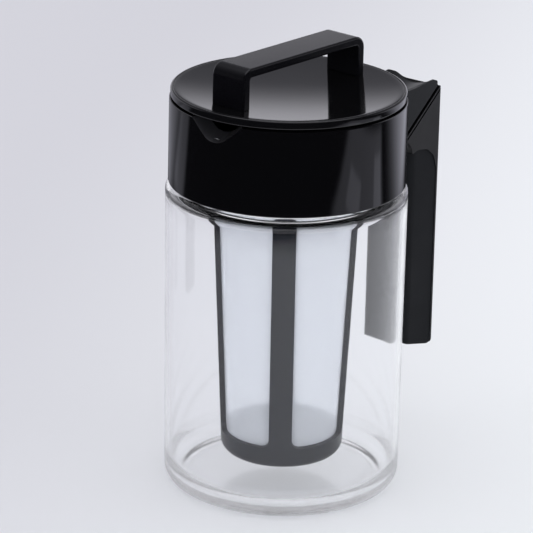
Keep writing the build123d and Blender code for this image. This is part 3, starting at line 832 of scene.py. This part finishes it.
# %% Bayonet lugs
lug_bm = bmesh.new()
for index in range(3):
    lug = bmesh.ops.create_cube(lug_bm, size=1.0)["verts"]
    bmesh.ops.scale(lug_bm, verts=lug, vec=(8.0 * MM, 3.2 * MM, 3.0 * MM))
    bmesh.ops.translate(lug_bm, verts=lug, vec=(0, -38.6 * MM, 154.0 * MM))
    turn = Matrix.Rotation(rib_turn + index * 2 * math.pi / 3, 3, "Z")
    bmesh.ops.rotate(lug_bm, verts=lug, cent=(0, 0, 0), matrix=turn)
bmesh.ops.bevel(
    lug_bm, geom=lug_bm.edges[:], offset=0.4 * MM, offset_type="OFFSET", segments=2, profile=0.5,
    affect="EDGES", material=-1,
)
close_up(lug_bm)
lugs = to_object(lug_bm, "filter_lugs")
dress(lugs, frame_black, "filter", "frame_black")

# %% [markdown]
# The mesh is fine white nylon, moulded into the back of the ribs. Threads a third of a millimetre apart
# can't be modelled one by one, so the tube is a thin turned wall with its own UV map in millimetres, and
# the weave is a bump and a slight change of colour that follow it. The gaps between the threads are too
# fine to see, so together they become one see-through share, the shader's alpha.

# %% Mesh weave
weave = bpy.data.materials.new("white_mesh")
weave.use_nodes = True
weave_nodes = weave.node_tree.nodes
weave_links = weave.node_tree.links
weave_surface = weave_nodes["Principled BSDF"]
weave_surface.inputs["Roughness"].default_value = 0.75
weave_surface.inputs["Specular IOR Level"].default_value = 0.3
weave_surface.inputs["Alpha"].default_value = 0.36
weave_map = weave_nodes.new("ShaderNodeUVMap")
weave_map.uv_map = "millimetres"
threads = []
for direction in ("X", "Y"):
    bands = weave_nodes.new("ShaderNodeTexWave")
    bands.wave_type = "BANDS"
    bands.bands_direction = direction
    bands.inputs["Scale"].default_value = 0.9
    bands.inputs["Distortion"].default_value = 0.4
    bands.inputs["Detail"].default_value = 1.0
    weave_links.new(weave_map.outputs["UV"], bands.inputs["Vector"])
    threads.append(bands.outputs["Fac"])
crossing = arithmetic(weave.node_tree, "MAXIMUM", threads[0], threads[1])
weave_tone = blended(weave.node_tree, crossing, (0.88, 0.91, 0.98), (0.94, 0.97, 1.0))
weave_links.new(weave_tone, weave_surface.inputs["Base Color"])
weave_bump = weave_nodes.new("ShaderNodeBump")
weave_bump.inputs["Distance"].default_value = 4e-5
weave_bump.inputs["Strength"].default_value = 0.5
weave_links.new(crossing, weave_bump.inputs["Height"])
weave_links.new(weave_bump.outputs["Normal"], weave_surface.inputs["Normal"])
print("share of the mesh that is thread:", round(weave_surface.inputs["Alpha"].default_value, 2))

# %% Mesh tube
mesh_wall = 0.7
mesh_overlap = 1.0
mesh_outline = [
    (cup_inside - mesh_wall, cup_top - mesh_overlap, 0),
    (cup_inside, cup_top - mesh_overlap, 0),
    (shell_inside, ring_low + mesh_overlap, 0),
    (shell_inside - mesh_wall, ring_low + mesh_overlap, 0),
]
mesh_tube = to_object(lathe(mesh_outline, steps=128), "mesh_tube")
tube_map = mesh_tube.data.uv_layers.new(name="millimetres")
mean_radius = 29.0
for face in mesh_tube.data.polygons:
    spots = [mesh_tube.data.vertices[index].co for index in face.vertices]
    angles = [math.atan2(spot.y, spot.x) for spot in spots]
    if max(angles) - min(angles) > math.pi:
        angles = [angle + 2 * math.pi if angle < 0 else angle for angle in angles]
    for loop, spot, angle in zip(face.loop_indices, spots, angles):
        tube_map.data[loop].uv = (angle * mean_radius, spot.z / MM)
dress(mesh_tube, weave, "filter", "mesh_white", "filter_mesh")

# %% [markdown]
# The lid's seal is a soft grey ring with a groove round its middle. The plug, the screws and what else
# only shows when the lid is off keep their CAD shape, which is already right, and get the finishes.

# %% Lid seal and carried-over parts
seal_inside = 43.7
seal_radius = 46.0
seal_outline = [
    (seal_inside, 168.9, 0.3),
    (seal_radius, 168.9, 0.6),
    (seal_radius, 170.3, 0.2),
    (45.4, 170.45, 0.1),
    (45.4, 170.75, 0.1),
    (seal_radius, 170.9, 0.2),
    (seal_radius, 172.3, 0.6),
    (seal_inside, 172.3, 0.3),
]
lid_seal = to_object(lathe(seal_outline, steps=192), "lid_seal_ring")
dress(lid_seal, seal_grey, "lid_seal", "seal_rubber", "lid_seal")
kept_finishes = {"lid_plug": liner_black, "arm_screws": screw_steel, "lid_handle_screws": screw_steel}
for node, finish in kept_finishes.items():
    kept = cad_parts[node]
    kept.data.materials.clear()
    kept.data.materials.append(finish)
print("kept CAD nodes:", sorted(kept_finishes))

# %% [markdown]
# The photograph's background is all floor: a pale sheet that is a little darker on the left, which is
# painted shade for the light falling off across it. One large plane makes it, with a smooth change of
# colour from left to right.

# %% Floor
floor_bm = bmesh.new()
bmesh.ops.create_grid(floor_bm, x_segments=1, y_segments=1, size=6.0)
bmesh.ops.translate(floor_bm, verts=floor_bm.verts[:], vec=(0, 0, -0.0002))
floor = to_object(floor_bm, "floor")
floor_paint = bpy.data.materials.new("pale_sheet")
floor_paint.use_nodes = True
floor_tree = floor_paint.node_tree
floor_surface = floor_tree.nodes["Principled BSDF"]
floor_surface.inputs["Roughness"].default_value = 0.9
floor_surface.inputs["Specular IOR Level"].default_value = 0.0
floor_spot = floor_tree.nodes.new("ShaderNodeTexCoord").outputs["Object"]
shade_direction = (0.25 * towards_camera + towards_right).normalized()
left_to_right = along(floor_tree, floor_spot, shade_direction, -0.28, 0.14)
# Painted shade: the colour ramp stands for light falling off towards the left of the sheet.
floor_colour = blended(floor_tree, left_to_right, (0.68, 0.68, 0.73), (0.90, 0.92, 0.95))
print("floor side in m:", round(floor.dimensions.x, 1))

# %% [markdown]
# A glossy black collar shows nothing but reflections, and here they are soft window shapes on near-black.
# A camera that looks down at an upright wall sees the floor in it: the lower down on the wall, the nearer
# the spot. So the bright shapes are drawn on the floor, past 40 cm, as cards that only reflections see.
# Each card is a soft-edged rectangle, given by how far it reaches towards the camera and to the right, in
# metres, with the width of its soft edges and its brightness.

# %% Cards that only reflections see
# name, nearest and furthest towards the camera, soft edge, the same to the right, brightness
cards = [
    ("window", -0.10, 0.38, 0.05, 0.28, 0.66, 0.05, 0.52),
    ("window pane", 0.15, 0.29, 0.02, 0.39, 0.51, 0.02, 0.50),
    ("second pane", -0.07, 0.03, 0.02, 0.42, 0.58, 0.02, 0.50),
    ("back right", -6.0, -0.10, 0.30, 0.20, 6.0, 0.15, 0.90),
    ("back left", -6.0, -0.25, 0.20, -6.0, -0.10, 0.10, 0.35),
    ("left", -0.36, -0.15, 0.06, -0.72, -0.30, 0.08, 0.34),
]
card_light = 0.02
for name, near_low, near_high, near_soft, right_low, right_high, right_soft, level in cards:
    edges = [
        (towards_camera, near_low, near_soft),
        (-towards_camera, -near_high, near_soft),
        (towards_right, right_low, right_soft),
        (-towards_right, -right_high, right_soft),
    ]
    inside = 1.0
    for direction, start, soft in edges:
        rise = along(floor_tree, floor_spot, direction, start, start + soft)
        inside = arithmetic(floor_tree, "MULTIPLY", rise, inside)
    share = arithmetic(floor_tree, "MULTIPLY", inside, level)
    card_light = arithmetic(floor_tree, "ADD", share, card_light)
card_colour = blended(floor_tree, card_light, (0.0, 0.0, 0.0), (1.0, 1.0, 1.12))
print("cards on the floor:", [card[0] for card in cards])

# %% [markdown]
# The cards replace the floor's own colour only in mirror images, and only further than about 40 cm from the
# pitcher. Cycles counts a ray that has passed clear plastic as glossy too, so a mirror image is a glossy ray
# that is not a transmission ray. The jug's wall has a second, inner surface, whose mirror image of the floor
# in front of the pitcher comes out through the plastic, so there a transmission ray is taken for one too.

# %% Which rays see the cards
floor_rays = floor_tree.nodes.new("ShaderNodeLightPath").outputs
distance = floor_tree.nodes.new("ShaderNodeVectorMath")
distance.operation = "LENGTH"
floor_tree.links.new(floor_spot, distance.inputs[0])
far_off = smooth_step(floor_tree, distance.outputs["Value"], 0.39, 0.43)
not_through = arithmetic(floor_tree, "SUBTRACT", 1.0, floor_rays["Is Transmission Ray"])
mirrored = arithmetic(floor_tree, "MULTIPLY", floor_rays["Is Glossy Ray"], not_through)
outer_far = arithmetic(floor_tree, "MULTIPLY", far_off, mirrored)
in_front = along(floor_tree, floor_spot, towards_camera, 0.12, 0.22)
first_seen = arithmetic(floor_tree, "LESS_THAN", floor_rays["Diffuse Depth"], 0.5)
through_wall = arithmetic(floor_tree, "MULTIPLY", floor_rays["Is Transmission Ray"], first_seen)
inner_mirror = arithmetic(floor_tree, "MULTIPLY", through_wall, in_front)
inner_far = arithmetic(floor_tree, "MULTIPLY", far_off, inner_mirror)
in_reflection = arithmetic(floor_tree, "MAXIMUM", inner_far, outer_far)
print("cards start at 0.39 m from the axis")

# %% [markdown]
# A path tracer's shadow rays stop at clear plastic, where real light goes on, so the floor behind and under
# a clear jug comes out too dark. A share of the floor's colour is therefore given off by the floor itself:
# 60 percent of it where it is seen through the plastic and 35 percent where the camera sees it straight.
# The rest is lit as usual, so the pitcher keeps its soft shadow.

# %% Floor colour by kind of ray
through_share = 0.60
straight_share = 0.35
not_far = arithmetic(floor_tree, "SUBTRACT", 1.0, inner_far)
near_through = arithmetic(floor_tree, "MULTIPLY", floor_rays["Is Transmission Ray"], not_far)
through = arithmetic(floor_tree, "MULTIPLY", near_through, through_share)
straight = arithmetic(floor_tree, "MULTIPLY", floor_rays["Is Camera Ray"], straight_share)
self_lit = arithmetic(floor_tree, "ADD", through, straight)
lit_share = arithmetic(floor_tree, "SUBTRACT", 1.0, self_lit)
lit_colour = blended(floor_tree, lit_share, (0.0, 0.0, 0.0), floor_colour)
seen_colour = blended(floor_tree, in_reflection, lit_colour, card_colour)
floor_tree.links.new(seen_colour, floor_surface.inputs["Base Color"])
floor_tree.links.new(floor_colour, floor_surface.inputs["Emission Color"])
floor_tree.links.new(self_lit, floor_surface.inputs["Emission Strength"])
floor.data.materials.append(floor_paint)
print("floor nodes:", len(floor_tree.nodes))

# %% [markdown]
# The studio's even light comes from a pale world, brighter low down than overhead, as in a white cove. Three
# kinds of ray see it differently. Things in the open get a plain level of light. Things inside the jug get
# more of it, to make up for the shadow rays that stop at the wall. Mirror images see a glow low down behind
# the pitcher, a bright patch high overhead, which is what the lid reflects, and near-black in front.

# %% World light
world = bpy.data.worlds.new("studio")
bpy.context.scene.world = world
world.use_nodes = True
world_tree = world.node_tree
world_rays = world_tree.nodes.new("ShaderNodeLightPath").outputs
world_direction = world_tree.nodes.new("ShaderNodeTexCoord").outputs["Generated"]
overhead_share = along(world_tree, world_direction, (0, 0, 1), 0.35, 0.65)
open_lit = blended(world_tree, overhead_share, (1.70, 1.70, 1.74), (0.62, 0.62, 0.64))
inside_lit = blended(world_tree, overhead_share, (3.04, 3.08, 3.25), (1.14, 1.15, 1.21))
lit = blended(world_tree, world_rays["Is Transmission Ray"], open_lit, inside_lit)
height_share = along(world_tree, world_direction, (0, 0, 1), 0.15, 0.34)
back_glow = blended(world_tree, height_share, (1.00, 0.99, 1.07), (0.24, 0.24, 0.27))
behind = along(world_tree, world_direction, -towards_camera, -0.2, 0.3)
low_reflected = blended(world_tree, behind, (0.03, 0.03, 0.035), back_glow)
high_up = along(world_tree, world_direction, (0, 0, 1), 0.74, 0.92)
reflected = blended(world_tree, high_up, low_reflected, (1.30, 1.30, 1.40))
world_straight = arithmetic(world_tree, "SUBTRACT", 1.0, world_rays["Is Transmission Ray"])
world_mirrored = arithmetic(world_tree, "MULTIPLY", world_rays["Is Glossy Ray"], world_straight)
lit_or_reflected = blended(world_tree, world_mirrored, lit, reflected)
print("world light in the open:", open_lit.node.inputs["A"].default_value[0])

# %% [markdown]
# What the camera sees of the world, straight or through the clear wall, is a plain pale backdrop. A ray that
# reaches the world through the wall has met no dull surface yet, so its diffuse depth is still zero, which
# tells it from light on its way to something inside the jug.

# %% World backdrop
first_hit = arithmetic(world_tree, "LESS_THAN", world_rays["Diffuse Depth"], 0.5)
seen_through = arithmetic(world_tree, "MULTIPLY", world_rays["Is Transmission Ray"], first_hit)
pale = arithmetic(world_tree, "MAXIMUM", world_rays["Is Camera Ray"], seen_through)
shown = blended(world_tree, pale, lit_or_reflected, (0.90, 0.90, 0.94))
world_tree.links.new(shown, world_tree.nodes["Background"].inputs["Color"])
print("world nodes:", len(world_tree.nodes))

# %% [markdown]
# One broad soft lamp overhead adds to the world's light and gives the pitcher its soft shadow. The camera
# and mirror images don't see it, since the world already draws what they see up there.

# %% Lamp
lamp_side = 1.4
lamp_radiance = 0.4
lamp_data = bpy.data.lights.new("overhead", "AREA")
lamp_data.shape = "SQUARE"
lamp_data.size = lamp_side
lamp_data.energy = lamp_radiance * math.pi * lamp_side * lamp_side
lamp = bpy.data.objects.new("overhead", lamp_data)
bpy.context.scene.collection.objects.link(lamp)
lamp_place = Vector((0, 0, 1.5)) - 0.1 * towards_camera
facing = (Vector((0, 0, 0.1)) - lamp_place).to_track_quat("-Z", "Y")
lamp.matrix_world = Matrix.Translation(lamp_place) @ facing.to_matrix().to_4x4()
lamp.visible_camera = False
lamp.visible_glossy = False
print("overhead lamp watts", round(lamp_data.energy, 1))

# %% [markdown]
# Colours are shown as they are, with no film look. A line of sight through the jug crosses at least four
# surfaces, and in the shoulder and the base it bounces about inside the plastic many times more. A ray that
# runs out of bounces turns black and draws dark rings there, so the limits go up.

# %% Colour and bounces
bpy.context.scene.view_settings.view_transform = "Standard"
bpy.context.scene.cycles.glossy_bounces = 32
bpy.context.scene.cycles.transmission_bounces = 32
bpy.context.scene.cycles.max_bounces = 48
print("view transform:", bpy.context.scene.view_settings.view_transform)
